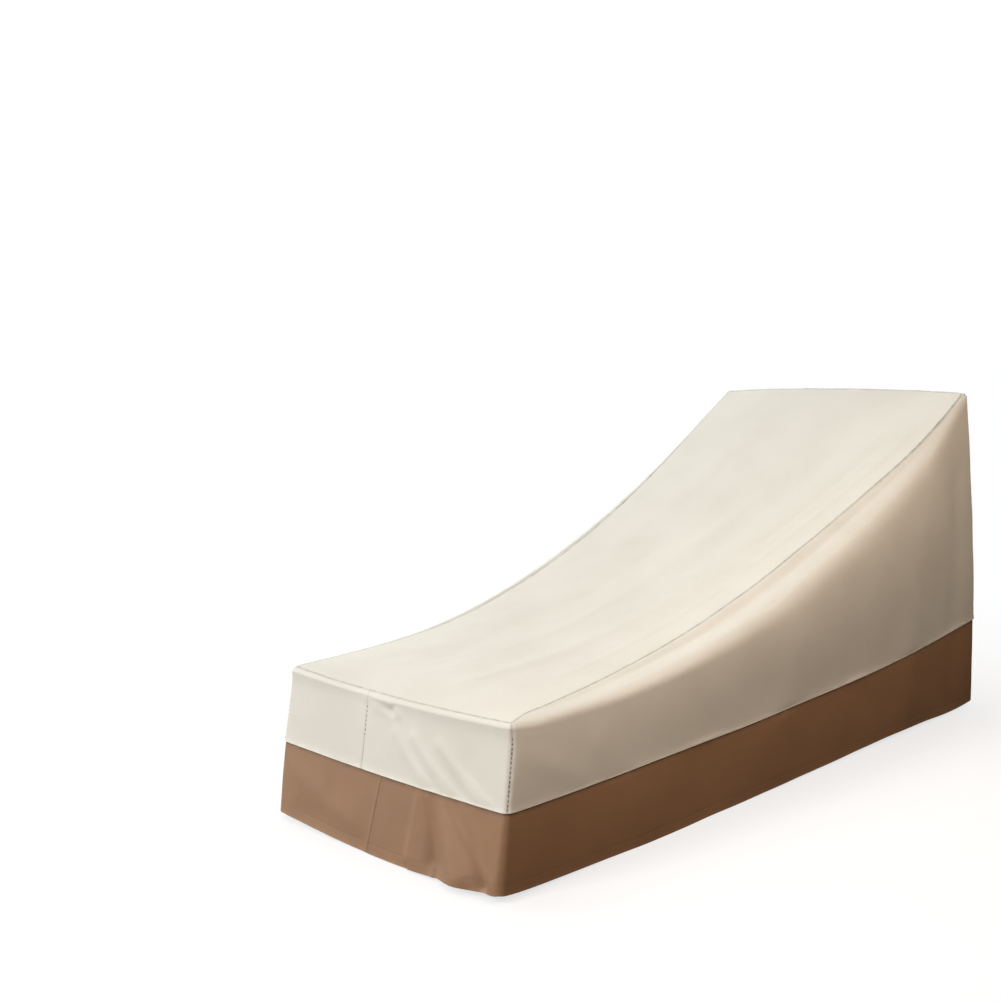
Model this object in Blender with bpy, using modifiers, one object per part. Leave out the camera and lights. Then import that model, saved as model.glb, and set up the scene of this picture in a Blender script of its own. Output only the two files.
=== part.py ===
"""Fitted cover for a lounge chair, sewn from woven panels with a darker band round the hem.

The cover keeps the shape of the chair it was fitted to: a flat foot end, a curved rise and
a raised back. X runs across the cover, Y from the foot to the head, Z up. The origin is on
the inner face of the top, over the seat, where the chair carries the cover.
"""

import math

import bmesh
import bpy
from mathutils import Vector

# Driving dimensions, in metres. Heights are taken from the hem's corners.
LENGTH = 1.728
FOOT_WIDTH = 0.800
HEAD_WIDTH = 0.838
CLOTH = 0.0020
SEAM_GAP = 0.0004
LAP = 0.012
CORNER_RADIUS = 0.014
EDGE_INSET = 0.006
EDGE_DROP = 0.012
REST_POINT = Vector((0.0, 0.45, 0.370))

# Shape of both sides: one row for each section, by its distance from the foot end. The
# shoulder is the cloth between the seam, set in from the chair's edge, and the wall.
SIDE_COLUMNS = ("from_foot", "seam", "band", "hem",
                "inset_right", "drop_right", "inset_left", "drop_left", "trough")
SIDE_SECTIONS = (
    (0.000, 0.344, 0.166, -0.001, 0.006, 0.012, 0.006, 0.012, 0.000),
    (0.060, 0.345, 0.164, -0.007, 0.034, 0.035, 0.016, 0.014, 0.000),
    (0.150, 0.347, 0.163, -0.011, 0.046, 0.045, 0.026, 0.020, 0.001),
    (0.300, 0.352, 0.163, -0.015, 0.066, 0.050, 0.038, 0.028, 0.002),
    (0.450, 0.366, 0.164, -0.019, 0.081, 0.055, 0.048, 0.035, 0.003),
    (0.600, 0.391, 0.165, -0.018, 0.085, 0.065, 0.048, 0.036, 0.004),
    (0.750, 0.428, 0.166, -0.017, 0.084, 0.085, 0.048, 0.038, 0.005),
    (0.900, 0.475, 0.171, -0.014, 0.076, 0.105, 0.047, 0.040, 0.005),
    (1.050, 0.532, 0.175, -0.013, 0.066, 0.125, 0.044, 0.040, 0.004),
    (1.200, 0.595, 0.180, -0.010, 0.052, 0.130, 0.038, 0.038, 0.003),
    (1.350, 0.665, 0.190, -0.007, 0.032, 0.125, 0.029, 0.034, 0.002),
    (1.500, 0.739, 0.204, -0.008, 0.014, 0.100, 0.017, 0.026, 0.001),
    (1.620, 0.803, 0.217, -0.011, 0.006, 0.060, 0.009, 0.018, 0.000),
    (1.728, 0.863, 0.231, -0.002, 0.006, 0.012, 0.006, 0.012, 0.000),
)

# Crown of the top between its side seams, by distance from the foot end.
CROWN_COLUMNS = ("from_foot", "rise")
CROWN = (
    (0.000, -0.011),
    (0.070, -0.003),
    (0.200, 0.002),
    (0.600, 0.004),
    (1.200, 0.005),
    (1.728, 0.010),
)

# Sag of the band's upper edge and of the hem between the corners of both ends.
FOOT_BAND_SAG = 0.005
FOOT_HEM_SAG = 0.016
HEAD_HEM_SAG = 0.010

# Hollow along a side's shoulder, beside the seam: its place and spread as shares of the inset.
TROUGH_PLACE = 0.30
TROUGH_SPREAD = 0.18

# How far the walls stand out from the chair.
FOOT_FLARE_SLOPE = 0.213
FOOT_FLARE_START = 0.310
RIGHT_FLARE = 0.003
LEFT_FLARE = 0.011
SIDE_BULGE = 0.003
HEAD_BULGE = 0.012

# Upright seams of the foot end, as shares of its width from the left corner.
FOOT_SEAM = 0.394
BAND_SEAM = 0.487
BAND_SEAM_LEAN = 0.034

# Soft folds of each wall, one line each: across and height of its start, across and height
# of its end, its spread, and how far it stands out, below zero for a hollow. Across is
# measured from the wall's first corner: the left one at both ends, the foot one on a side.
FOOT_FOLDS = (
    (0.430, 0.262, 0.545, 0.168, 0.016, 0.0035),
    (0.495, 0.262, 0.625, 0.168, 0.016, 0.0040),
    (0.585, 0.262, 0.730, 0.168, 0.017, 0.0040),
    (0.340, 0.302, 0.430, 0.298, 0.012, 0.0040),
    (0.530, 0.150, 0.610, 0.020, 0.022, 0.0040),
    (0.600, 0.152, 0.780, 0.020, 0.016, 0.0060),
    (0.650, 0.150, 0.785, 0.060, 0.014, -0.0040),
    (0.060, 0.110, 0.300, 0.030, 0.030, 0.0030),
    (0.100, 0.020, 0.340, 0.000, 0.030, -0.0030),
)
SIDE_FOLDS = (
    (0.030, 0.280, 0.200, 0.190, 0.030, 0.0030),
    (0.250, 0.250, 0.420, 0.020, 0.040, 0.0030),
    (0.560, 0.280, 0.640, 0.030, 0.050, -0.0035),
    (0.900, 0.330, 0.880, 0.030, 0.060, 0.0040),
    (1.150, 0.420, 1.180, 0.040, 0.055, -0.0040),
    (1.430, 0.520, 1.400, 0.060, 0.060, 0.0040),
    (1.640, 0.640, 1.610, 0.020, 0.040, -0.0035),
)
HEAD_FOLDS = (
    (0.150, 0.700, 0.200, 0.040, 0.050, 0.0050),
    (0.330, 0.620, 0.310, 0.020, 0.050, -0.0050),
    (0.520, 0.700, 0.540, 0.030, 0.055, 0.0050),
    (0.690, 0.600, 0.670, 0.020, 0.045, -0.0045),
)
CORNER_EASE = 0.050

# Lengthwise creases of the top, one line each: distance from the foot and share of the
# width at its start, the same at its end, its spread and its rise.
TOP_CREASES = (
    (0.150, 0.62, 0.900, 0.80, 0.030, 0.0020),
    (0.250, 0.30, 1.000, 0.42, 0.045, -0.0020),
    (0.900, 0.66, 1.550, 0.72, 0.040, -0.0025),
    (1.000, 0.24, 1.600, 0.30, 0.045, 0.0020),
)
CREASE_EASE_ACROSS = 0.125
CREASE_EASE_ALONG = 0.083

# Levels down a wall: the top seam, the shoulder's foot, the lap's top, the band's upper
# edge and the hem.
SEAM, SHOULDER, LAP_TOP, BAND, HEM = range(5)

# Walls, the direction each faces in plan, and its folds.
FOOT, RIGHT, HEAD, LEFT = "foot", "right", "head", "left"
OUTWARD = {FOOT: (0.0, -1.0), RIGHT: (1.0, 0.0), HEAD: (0.0, 1.0), LEFT: (-1.0, 0.0)}
FOLDS = {FOOT: FOOT_FOLDS, RIGHT: SIDE_FOLDS, HEAD: HEAD_FOLDS, LEFT: SIDE_FOLDS}

# Steps of the meshes.
STEPS_ACROSS = 22
STEPS_ALONG = 26
SHOULDER_STEPS = 5
WALL_STEPS = 5
BAND_STEPS = 4
COLUMN_CLEARANCE = 0.02
CORNER_TURN = math.radians(57.0)

BEIGE = (0.74, 0.70, 0.61, 1.0)
BROWN = (0.25, 0.14, 0.085, 1.0)
ROUGHNESS = 0.75


def blend(start, end, share):
    """Value a share of the way from start to end."""
    return start + (end - start) * share


def ease(value):
    """Smooth step from 0 to 1 for a value that runs past both."""
    share = min(max(value, 0.0), 1.0)
    return share * share * (3.0 - 2.0 * share)


def read_curve(table, columns, name, where):
    """Value of a named column at a place, on a smooth curve through the table's rows."""
    column = columns.index(name)
    last = len(table) - 1
    row = 0
    while row < last - 1 and table[row + 1][0] < where:
        row += 1
    before, start, end, after = (table[min(max(row + step, 0), last)] for step in (-1, 0, 1, 2))
    span = end[0] - start[0]
    share = min(max((where - start[0]) / span, 0.0), 1.0)

    def slope(low, high):
        return (high[column] - low[column]) / (high[0] - low[0])

    slope_in = slope(before, end) * span
    slope_out = slope(start, after) * span
    rise = end[column] - start[column]
    bend = share * (1.0 - share)
    return (start[column] + rise * share
            + bend * ((1.0 - share) * (slope_in - rise) + share * (rise - slope_out)))


def side_value(name, share):
    """Value of a side section's column, a share of the way from the foot to the head."""
    return read_curve(SIDE_SECTIONS, SIDE_COLUMNS, name, share * LENGTH)


def half_width(share):
    """Half the chair's width, a share of the way from the foot to the head."""
    return blend(FOOT_WIDTH, HEAD_WIDTH, share) / 2.0


def ridge(folds, across, height):
    """Sum of soft folds at one place, each a line with a rounded cross-section."""
    total = 0.0
    for start_x, start_y, end_x, end_y, spread, size in folds:
        run_x, run_y = end_x - start_x, end_y - start_y
        share = ((across - start_x) * run_x + (height - start_y) * run_y) / (run_x**2 + run_y**2)
        near = min(max(share, 0.0), 1.0)
        away = math.hypot(across - start_x - near * run_x, height - start_y - near * run_y)
        total += size * math.exp(-(away / spread) ** 2)
    return total


def top_height(along, across):
    """Height of the top, by shares of its length and of its width."""
    crown = read_curve(CROWN, CROWN_COLUMNS, "rise", along * LENGTH)
    return side_value("seam", along) + crown * 4.0 * across * (1.0 - across)


def wall_section(wall, share):
    """Heights and shoulder sizes of a wall, a share of the way from its first corner."""
    sag = math.sin(math.pi * share)
    if wall == FOOT:
        return {
            "seam": top_height(0.0, share),
            "band": side_value("band", 0.0) - FOOT_BAND_SAG * sag,
            "hem": side_value("hem", 0.0) - FOOT_HEM_SAG * sag,
            "inset": EDGE_INSET, "drop": EDGE_DROP, "trough": 0.0,
        }
    if wall == HEAD:
        return {
            "seam": top_height(1.0, share),
            "band": side_value("band", 1.0),
            "hem": side_value("hem", 1.0) - HEAD_HEM_SAG * sag,
            "inset": EDGE_INSET, "drop": EDGE_DROP, "trough": 0.0,
        }
    return {
        "seam": top_height(share, 1.0 if wall == RIGHT else 0.0),
        "band": side_value("band", share),
        "hem": side_value("hem", share),
        "inset": side_value("inset_" + wall, share),
        "drop": side_value("drop_" + wall, share),
        "trough": side_value("trough", share),
    }


def wall_height(section, level):
    """Height of a wall at a level, from its seam down to its hem."""
    shoulder = section["seam"] - section["drop"]
    if level <= SHOULDER:
        turn = level * math.pi / 2.0
        away = (math.sin(turn) - TROUGH_PLACE) / TROUGH_SPREAD
        hollow = section["trough"] * math.exp(-away ** 2)
        return section["seam"] - section["drop"] * (1.0 - math.cos(turn)) - hollow
    if level <= LAP_TOP:
        return blend(shoulder, section["band"] + LAP, level - SHOULDER)
    if level <= BAND:
        return section["band"] + LAP * (BAND - level)
    return blend(section["band"], section["hem"], level - BAND)


def shoulder_inset(inset, level):
    """How far a wall still is inside its outer face, at a level of its shoulder."""
    return inset * (1.0 - math.sin(min(level, SHOULDER) * math.pi / 2.0))


def wall_offset(wall, height, seam):
    """How far a wall's cloth stands out from the chair's side at a height."""
    rise = height / seam
    if wall == FOOT:
        return FOOT_FLARE_SLOPE * max(FOOT_FLARE_START - height, 0.0)
    belly = math.sin(math.pi * min(max(rise, 0.0), 1.0))
    if wall == HEAD:
        return HEAD_BULGE * belly
    flare = RIGHT_FLARE if wall == RIGHT else LEFT_FLARE
    return flare * (1.0 - rise) + SIDE_BULGE * belly


def wall_point(wall, share, level):
    """Place on the cover's nominal face, by a share of a wall's length and a level."""
    section = wall_section(wall, share)
    height = wall_height(section, level)
    seam = section["seam"]
    edge = shoulder_inset(EDGE_INSET, level)
    front = edge - wall_offset(FOOT, height, seam)
    rear = LENGTH - edge + wall_offset(HEAD, height, seam)

    if wall in (FOOT, HEAD):
        half = half_width(0.0 if wall == FOOT else 1.0) - edge
        left = half + wall_offset(LEFT, height, seam)
        right = half + wall_offset(RIGHT, height, seam)
        point = Vector((blend(-left, right, share), front if wall == FOOT else rear, height))
        across, length = share * (left + right), left + right
    else:
        inset = shoulder_inset(section["inset"], level)
        side = half_width(share) + wall_offset(wall, height, seam) - inset
        point = Vector((OUTWARD[wall][0] * side, blend(front, rear, share), height))
        across, length = share * LENGTH, LENGTH

    if share in (0.0, 1.0):
        inward_x = -math.copysign(1.0, point.x)
        inward_y = -math.copysign(1.0, point.y - LENGTH / 2.0)
        point += Vector((inward_x, inward_y, 0.0)) * CORNER_RADIUS / 4.0
        return point

    fade = ease(min(across, length - across) / CORNER_EASE) * math.sin(
        min(level, SHOULDER) * math.pi / 2.0)
    out = ridge(FOLDS[wall], across, height) * fade
    return point + Vector((*OUTWARD[wall], 0.0)) * out


def top_point(along, across):
    """Place on the top's nominal face, by shares of its length and of its width."""
    left = half_width(along) - side_value("inset_left", along)
    right = half_width(along) - side_value("inset_right", along)
    x = blend(-left, right, across)
    y = blend(EDGE_INSET, LENGTH - EDGE_INSET, along)
    point = Vector((x, y, top_height(along, across)))
    if along in (0.0, 1.0) and across in (0.0, 1.0):
        inward = Vector((1.0 - 2.0 * across, 1.0 - 2.0 * along, 0.0))
        return point + inward * CORNER_RADIUS / 4.0
    creases = [(foot, blend(-left, right, share), to_foot, blend(-left, right, to_share), spread, rise)
               for foot, share, to_foot, to_share, spread, rise in TOP_CREASES]
    fade = (ease(min(across, 1.0 - across) / CREASE_EASE_ACROSS)
            * ease(min(along, 1.0 - along) / CREASE_EASE_ALONG))
    point.z += ridge(creases, y, x) * fade
    return point


def shares(length, steps):
    """Shares of a wall's length for its columns, with a short step at both corners."""
    corner = CORNER_RADIUS / length
    inner = [blend(corner, 1.0 - corner, step / steps) for step in range(steps + 1)]
    return [0.0, *inner, 1.0]


def levels(*stretches):
    """Levels for a panel's rows: each stretch is its first level, last level and steps."""
    rows = [stretches[0][0]]
    for first, last, steps in stretches:
        rows += [blend(first, last, step / steps) for step in range(1, steps + 1)]
    return rows


def pull_back_border(mesh, distance):
    """Draw a sheet's edge in by a distance, so that sewn neighbours don't touch."""
    moves = {}
    for vert in mesh.verts:
        if not vert.is_boundary:
            continue
        inner = [edge.other_vert(vert).co for edge in vert.link_edges if not edge.is_boundary]
        rim = [edge.other_vert(vert).co for edge in vert.link_edges if edge.is_boundary]
        turn = (rim[0] - vert.co).angle(vert.co - rim[1])
        is_corner = len(vert.link_faces) <= 2 and turn > CORNER_TURN
        targets = rim if is_corner or not inner else inner
        step = Vector()
        for target in targets:
            step += (target - vert.co).normalized()
        if not is_corner:
            along = (rim[0] - rim[1]).normalized()
            step -= along * step.dot(along)
            step.normalize()
        moves[vert] = step * distance
    for vert, move in moves.items():
        vert.co += move


def face_outward(mesh):
    """Turn a sheet's faces away from the middle of the cover."""
    middle = Vector((0.0, LENGTH / 2.0, 0.0))
    mesh.normal_update()
    facing = sum(face.normal.dot(face.calc_center_median() - middle) for face in mesh.faces)
    if facing < 0.0:
        bmesh.ops.reverse_faces(mesh, faces=mesh.faces)
        mesh.normal_update()


def sink(mesh, depth):
    """Move a sheet inward by a depth, square to its faces."""
    mesh.normal_update()
    moves = [(vert, vert.normal * vert.calc_shell_factor()) for vert in mesh.verts]
    for vert, normal in moves:
        vert.co -= normal * depth


def cloth(name, columns, rows, place, material, depth=0.0):
    """Sheet of cloth laid over a grid of columns and rows, thickened outward."""
    mesh = bmesh.new()
    last_column, last_row = len(columns) - 1, len(rows) - 1
    bmesh.ops.create_grid(mesh, x_segments=last_column, y_segments=last_row, size=0.5)
    for vert in mesh.verts:
        column = columns[round((vert.co.x + 0.5) * last_column)]
        row = rows[round((vert.co.y + 0.5) * last_row)]
        vert.co = place(column, row)
    bmesh.ops.triangulate(mesh, faces=mesh.faces, quad_method="FIXED")
    face_outward(mesh)
    pull_back_border(mesh, SEAM_GAP / 2.0)
    if depth:
        sink(mesh, depth)
    bmesh.ops.translate(mesh, verts=mesh.verts, vec=-REST_POINT)

    data = bpy.data.meshes.new(name)
    mesh.to_mesh(data)
    mesh.free()
    data.shade_smooth()
    data.materials.append(material)
    sheet = bpy.data.objects.new(name, data)
    shell = sheet.modifiers.new("Cloth thickness", "SOLIDIFY")
    shell.thickness = CLOTH
    shell.offset = 1.0
    shell.use_even_offset = True
    return sheet


def make_material(name, colour):
    """Matt woven cloth of one colour."""
    material = bpy.data.materials.new(name)
    material.use_nodes = True
    surface = material.node_tree.nodes["Principled BSDF"]
    surface.inputs["Base Color"].default_value = colour
    surface.inputs["Roughness"].default_value = ROUGHNESS
    surface.inputs["Metallic"].default_value = 0.0
    return material


def make_top(material):
    """Top panel, from the foot seam to the head seam."""
    return cloth("top_panel", shares(FOOT_WIDTH, STEPS_ACROSS), shares(LENGTH, STEPS_ALONG),
                 lambda across, along: top_point(along, across), material)


def panel_levels():
    """Rows of a panel that hangs from the top seam and laps over the band."""
    return levels((SEAM, SHOULDER, SHOULDER_STEPS), (SHOULDER, LAP_TOP, WALL_STEPS),
                  (LAP_TOP, BAND, 1))


def make_side(name, wall, material):
    """Side panel, from its seam on the top down to the band."""
    return cloth(name, shares(LENGTH, STEPS_ALONG), panel_levels(),
                 lambda share, level: wall_point(wall, share, level), material)


def make_head(material):
    """Back panel at the head end."""
    return cloth("head_panel", shares(HEAD_WIDTH, STEPS_ACROSS), panel_levels(),
                 lambda share, level: wall_point(HEAD, share, level), material)


def make_foot(material):
    """Both panels of the foot end, either side of its upright seam."""
    columns = [share for share in shares(FOOT_WIDTH, STEPS_ACROSS)
               if abs(share - FOOT_SEAM) > COLUMN_CLEARANCE]
    left = [share for share in columns if share < FOOT_SEAM] + [FOOT_SEAM]
    right = [FOOT_SEAM] + [share for share in columns if share > FOOT_SEAM]
    return [cloth(name, part, panel_levels(), lambda share, level: wall_point(FOOT, share, level),
                  material)
            for name, part in (("foot_panel_left", left), ("foot_panel_right", right))]


def band_share(share, level):
    """Share of the foot end's width for a column of the band, whose own seam leans."""
    seam = BAND_SEAM - BAND_SEAM_LEAN * max(level - BAND, 0.0)
    if share < BAND_SEAM:
        return share * seam / BAND_SEAM
    return 1.0 - (1.0 - share) * (1.0 - seam) / (1.0 - BAND_SEAM)


def band_point(column, level):
    """Place on the band's strip, by its wall, share and level."""
    wall, share = column
    if wall == FOOT:
        share = band_share(share, level)
    return wall_point(wall, share, level)


def make_band(material):
    """Band round the hem, one strip that starts and ends at its seam on the foot end."""
    foot = [share for share in shares(FOOT_WIDTH, STEPS_ACROSS)
            if abs(share - BAND_SEAM) > COLUMN_CLEARANCE]
    side = shares(LENGTH, STEPS_ALONG)
    head = shares(HEAD_WIDTH, STEPS_ACROSS)
    columns = [(FOOT, BAND_SEAM)]
    columns += [(FOOT, share) for share in foot if share > BAND_SEAM]
    columns += [(RIGHT, share) for share in side[1:]]
    columns += [(HEAD, share) for share in reversed(head[:-1])]
    columns += [(LEFT, share) for share in reversed(side[:-1])]
    columns += [(FOOT, share) for share in foot[1:] if share < BAND_SEAM]
    columns.append((FOOT, BAND_SEAM))
    rows = levels((LAP_TOP, BAND, 1), (BAND, HEM, BAND_STEPS))
    return cloth("skirt_band", columns, rows, band_point, material, depth=CLOTH + SEAM_GAP)


def main():
    for old in list(bpy.data.objects):
        bpy.data.objects.remove(old, do_unlink=True)
    collection = bpy.data.collections.new("lounge_chair_cover")
    bpy.context.scene.collection.children.link(collection)

    beige = make_material("beige_cloth", BEIGE)
    brown = make_material("brown_cloth", BROWN)
    sheets = [
        make_top(beige),
        make_side("side_panel_right", RIGHT, beige),
        make_side("side_panel_left", LEFT, beige),
        *make_foot(beige),
        make_head(beige),
        make_band(brown),
    ]
    for sheet in sheets:
        collection.objects.link(sheet)


main()
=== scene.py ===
"""Looks of a fitted lounge chair cover: its woven panels, seams, stitching, hems and folds.

Each panel is a thin sheet close to its solid, and fuller than it along the right shoulder.
Places are worked out with the foot end at y = 0 and the hem's corners at z = 0. REST_POINT is
the place there of the frame's own origin.
"""

import math

import bpy
import numpy as np
from mathutils import Matrix, Vector


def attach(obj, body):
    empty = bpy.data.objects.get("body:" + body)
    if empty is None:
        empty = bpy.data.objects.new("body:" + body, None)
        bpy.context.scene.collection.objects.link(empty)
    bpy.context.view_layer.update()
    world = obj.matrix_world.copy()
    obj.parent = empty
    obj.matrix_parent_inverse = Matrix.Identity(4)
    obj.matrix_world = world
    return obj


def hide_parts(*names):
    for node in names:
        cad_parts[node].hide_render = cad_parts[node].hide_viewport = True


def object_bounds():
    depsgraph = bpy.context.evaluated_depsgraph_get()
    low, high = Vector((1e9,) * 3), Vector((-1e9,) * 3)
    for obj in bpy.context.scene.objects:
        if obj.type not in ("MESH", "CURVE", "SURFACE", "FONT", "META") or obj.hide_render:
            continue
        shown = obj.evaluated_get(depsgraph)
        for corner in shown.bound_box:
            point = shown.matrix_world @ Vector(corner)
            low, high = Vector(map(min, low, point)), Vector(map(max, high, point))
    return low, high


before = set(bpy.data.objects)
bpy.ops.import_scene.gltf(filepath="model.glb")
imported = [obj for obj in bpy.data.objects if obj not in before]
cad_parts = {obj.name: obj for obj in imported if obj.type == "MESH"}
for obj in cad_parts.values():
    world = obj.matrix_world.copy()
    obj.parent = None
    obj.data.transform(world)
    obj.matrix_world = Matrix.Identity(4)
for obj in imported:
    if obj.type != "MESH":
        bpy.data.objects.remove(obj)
CAD_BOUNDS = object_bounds()

# Driving dimensions of the cover, in metres. Its solids share them, apart from the rounding
# of the edges and of the hem's corners.
LENGTH = 1.728
FOOT_WIDTH = 0.800
HEAD_WIDTH = 0.838
CORNER_RADIUS = 0.014
HEM_CORNER_RADIUS = 0.022
EDGE_INSET = 0.010
EDGE_DROP = 0.010
TOP_LENGTH = LENGTH - 2.0 * EDGE_INSET
LAP = 0.012
REST_POINT = Vector((0.0, 0.45, 0.370))

# Shape of both sides, one row for each section, by its distance from the foot end. The seam,
# the band and the hem are the solids' own. The right side's drop is less and the trough deeper.
SIDE_COLUMNS = ("from_foot", "seam", "band", "hem",
                "inset_right", "drop_right", "inset_left", "drop_left", "trough")
SIDE_SECTIONS = (
    (0.000, 0.344, 0.166, -0.001, 0.010, 0.010, 0.010, 0.010, 0.000),
    (0.060, 0.345, 0.164, -0.007, 0.034, 0.022, 0.016, 0.014, 0.000),
    (0.150, 0.347, 0.163, -0.011, 0.046, 0.028, 0.026, 0.020, 0.001),
    (0.300, 0.352, 0.163, -0.015, 0.066, 0.032, 0.038, 0.028, 0.002),
    (0.450, 0.366, 0.164, -0.019, 0.081, 0.036, 0.048, 0.035, 0.004),
    (0.600, 0.391, 0.165, -0.018, 0.085, 0.045, 0.048, 0.036, 0.007),
    (0.750, 0.428, 0.166, -0.017, 0.084, 0.060, 0.048, 0.038, 0.009),
    (0.900, 0.475, 0.171, -0.014, 0.076, 0.082, 0.047, 0.040, 0.009),
    (1.050, 0.532, 0.175, -0.013, 0.066, 0.102, 0.044, 0.040, 0.008),
    (1.200, 0.595, 0.180, -0.010, 0.052, 0.112, 0.038, 0.038, 0.006),
    (1.350, 0.665, 0.190, -0.007, 0.032, 0.115, 0.029, 0.034, 0.004),
    (1.500, 0.739, 0.204, -0.008, 0.014, 0.100, 0.017, 0.026, 0.002),
    (1.620, 0.803, 0.217, -0.011, 0.009, 0.060, 0.010, 0.018, 0.000),
    (1.728, 0.863, 0.231, -0.002, 0.010, 0.010, 0.010, 0.010, 0.000),
)

# Crown of the top between its side seams, by distance from the foot end.
CROWN_COLUMNS = ("from_foot", "rise")
CROWN = (
    (0.000, -0.011),
    (0.070, -0.003),
    (0.200, 0.002),
    (0.600, 0.004),
    (1.200, 0.005),
    (1.728, 0.010),
)

# How far the cloth of the right side's shoulder stands out over the wall below it, which its
# solid doesn't.
BULGE_COLUMNS = ("from_foot", "out")
RIGHT_BULGE = (
    (0.000, 0.000),
    (0.150, 0.003),
    (0.300, 0.006),
    (0.600, 0.013),
    (0.900, 0.022),
    (1.200, 0.028),
    (1.400, 0.029),
    (1.520, 0.026),
    (1.640, 0.010),
    (1.728, 0.000),
)

# Hollow along a side's shoulder: its place and spread as shares of the inset.
TROUGH_PLACE = 0.27
TROUGH_SPREAD = 0.17

# Ridge outside that hollow, placed likewise, and its rise as a share of the hollow's depth.
RIDGE_PLACE = 0.80
RIDGE_SPREAD = 0.17
RIDGE_RISE = 0.5
RIDGE_END_POWER = 8

# Share of a right shoulder's drop that falls evenly, how sharply the rest turns down, and the
# distance from both ends over which that shape sets in.
SHOULDER_FALL = 0.35
SHOULDER_TURN = 2.5
BOXY_REACH = 0.12

# Sag of the band's upper edge and of the hem between the corners of both ends.
FOOT_BAND_SAG = 0.005
FOOT_HEM_SAG = 0.016
HEAD_HEM_SAG = 0.010

# How far the walls stand out from the chair.
FOOT_FLARE_SLOPE = 0.213
FOOT_FLARE_START = 0.310
FOOT_FLARE_BEND = 0.009
RIGHT_FLARE = 0.003
LEFT_FLARE = 0.011
SIDE_BULGE = 0.003
HEAD_BULGE = 0.012

# Upright seams of the foot end, as shares of its width from the left corner.
FOOT_SEAM = 0.394
BAND_SEAM = 0.487
BAND_SEAM_LEAN = 0.034

# Soft folds of each wall: across and height of the start and of the end, spread, and how far
# the fold stands out, below zero for a hollow. The foot end's are fewer and shallower than its
# solids'.
FOOT_FOLDS = (
    (0.430, 0.262, 0.545, 0.168, 0.016, 0.0022),
    (0.495, 0.262, 0.625, 0.168, 0.016, 0.0026),
    (0.585, 0.262, 0.730, 0.168, 0.017, 0.0028),
    (0.350, 0.304, 0.430, 0.300, 0.014, 0.0020),
    (0.060, 0.110, 0.300, 0.030, 0.030, 0.0020),
    (0.100, 0.020, 0.340, 0.000, 0.030, -0.0020),
)
SIDE_FOLDS = (
    (0.030, 0.280, 0.200, 0.190, 0.030, 0.0030),
    (0.250, 0.250, 0.420, 0.020, 0.040, 0.0030),
    (0.560, 0.280, 0.640, 0.030, 0.050, -0.0035),
    (0.900, 0.330, 0.880, 0.030, 0.060, 0.0040),
    (1.150, 0.420, 1.180, 0.040, 0.055, -0.0040),
    (1.430, 0.520, 1.400, 0.060, 0.060, 0.0040),
    (1.640, 0.640, 1.610, 0.020, 0.040, -0.0035),
)
HEAD_FOLDS = (
    (0.150, 0.700, 0.200, 0.040, 0.050, 0.0050),
    (0.330, 0.620, 0.310, 0.020, 0.050, -0.0050),
    (0.520, 0.700, 0.540, 0.030, 0.055, 0.0050),
    (0.690, 0.600, 0.670, 0.020, 0.045, -0.0045),
)
CORNER_EASE = 0.050

# Lengthwise creases of the top, as the solids have them: distance from the foot and share
# of the width at the start, the same at the end, spread and rise.
TOP_FOLDS = (
    (0.150, 0.62, 0.900, 0.80, 0.030, 0.0020),
    (0.250, 0.30, 1.000, 0.42, 0.045, -0.0020),
    (0.900, 0.66, 1.550, 0.72, 0.040, -0.0025),
    (1.000, 0.24, 1.600, 0.30, 0.045, 0.0020),
)
CREASE_EASE_ACROSS = 0.125
CREASE_EASE_ALONG = 0.083

# Finer creases, whose two sides differ: the start and end as above, then the spread on the
# left and on the right of that line at its start, the same at its end, and the rise at both.
FOOT_CREASES = (
    (0.335, 0.326, 0.402, 0.321, 0.008, 0.006, 0.008, 0.006, 0.0010, 0.0024),
    (0.366, 0.310, 0.404, 0.305, 0.006, 0.009, 0.008, 0.011, -0.0010, -0.0044),
    (0.450, 0.232, 0.560, 0.176, 0.006, 0.008, 0.007, 0.012, 0.0002, 0.0012),
    (0.515, 0.240, 0.645, 0.174, 0.006, 0.008, 0.007, 0.014, 0.0002, 0.0016),
    (0.600, 0.246, 0.755, 0.176, 0.008, 0.010, 0.008, 0.016, 0.0002, 0.0016),
    (0.386, 0.162, 0.360, -0.008, 0.010, 0.003, 0.012, 0.003, 0.0012, 0.0016),
    (0.532, 0.154, 0.550, 0.116, 0.003, 0.004, 0.004, 0.004, 0.0036, 0.0010),
    (0.549, 0.152, 0.574, 0.106, 0.003, 0.004, 0.005, 0.004, 0.0036, 0.0010),
    (0.520, 0.150, 0.510, 0.010, 0.016, 0.008, 0.050, 0.016, 0.0016, 0.0050),
    (0.560, 0.156, 0.588, 0.020, 0.022, 0.014, 0.044, 0.020, -0.0004, -0.0110),
    (0.592, 0.158, 0.676, 0.006, 0.006, 0.012, 0.040, 0.060, 0.0000, 0.0190),
    (0.690, 0.110, 0.746, 0.008, 0.010, 0.010, 0.018, 0.014, 0.0000, -0.0100),
    (0.604, 0.158, 0.770, 0.012, 0.006, 0.006, 0.016, 0.012, 0.0014, 0.0040),
)
SIDE_CREASES = (
    (0.020, 0.316, 0.110, 0.306, 0.006, 0.008, 0.006, 0.010, 0.0008, 0.0002),
    (0.600, 0.380, 0.850, 0.437, 0.004, 0.004, 0.004, 0.004, -0.0006, -0.0016),
    (0.850, 0.437, 1.120, 0.536, 0.004, 0.004, 0.006, 0.006, -0.0016, -0.0004),
    (1.180, 0.600, 1.480, 0.260, 0.016, 0.030, 0.016, 0.030, 0.0014, 0.0006),
    (1.320, 0.640, 1.560, 0.340, 0.016, 0.030, 0.016, 0.030, 0.0012, 0.0006),
    (1.500, 0.700, 1.660, 0.420, 0.012, 0.022, 0.016, 0.030, 0.0010, 0.0005),
)
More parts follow.
